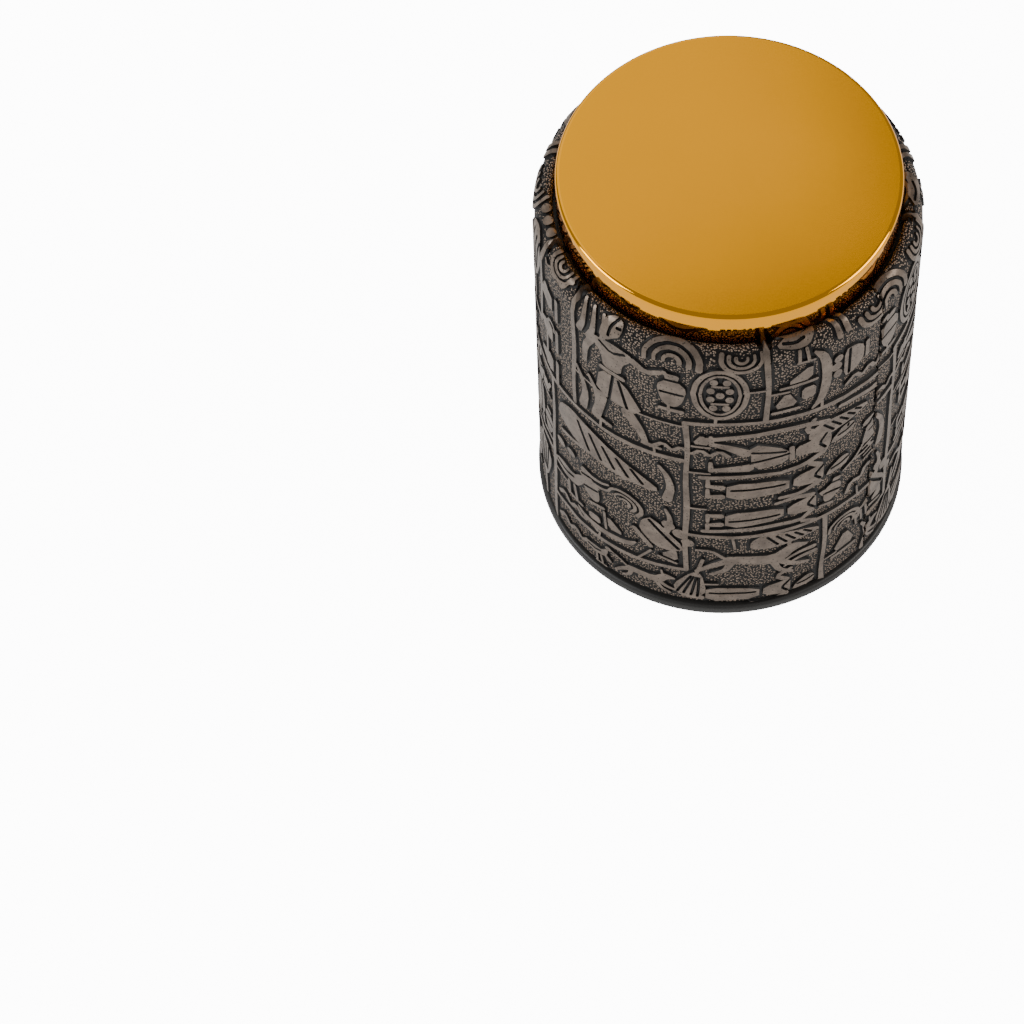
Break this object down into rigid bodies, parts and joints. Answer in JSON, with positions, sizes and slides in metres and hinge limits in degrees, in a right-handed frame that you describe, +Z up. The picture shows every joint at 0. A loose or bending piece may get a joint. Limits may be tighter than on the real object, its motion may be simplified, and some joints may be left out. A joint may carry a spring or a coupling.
{
  "type": "dice cup with base tray",
  "caption": "Leather-covered dice cup with a flat metal end cap, standing mouth down on a loose black base tray that it lifts off.",
  "frame": {"origin": "centre of the tray's underside, on the surface the cup stands on", "axes": "+Z up along the cup's axis, towards the metal cap; the front faces -Y and the leather's seam is 48 degrees to its right"},
  "size_m": [0.0806, 0.0806, 0.1085],
  "materials": {
    "black_plastic": "satin black moulding",
    "felt": "short-pile felt",
    "foot_rubber": "matt foamed rubber",
    "foam": "thin foam sheet",
    "embossed_leather": "embossed, black ground and dull bronze relief",
    "gold_cap": "satin face, polished edge and wall, gold coloured",
    "greyboard": "grey card board"
  },
  "bodies": {
    "tray": {"base_tray": "black_plastic", "tray_felt": "felt", "tray_foot_pad": "foot_rubber"},
    "cup": {"cup_shell": "black_plastic", "foam_wrap": "foam", "leather_cover": "embossed_leather", "end_cap": "gold_cap", "cap_bond_pad": "foam", "floor_board": "greyboard", "floor_felt": "felt", "wall_felt": "felt"}
  },
  "joints": [
    {"name": "cup_lift", "type": "slide", "parent": "tray", "child": "cup", "axis": [0, 0, 1], "range_m": [0, 0.12]}
  ]
}
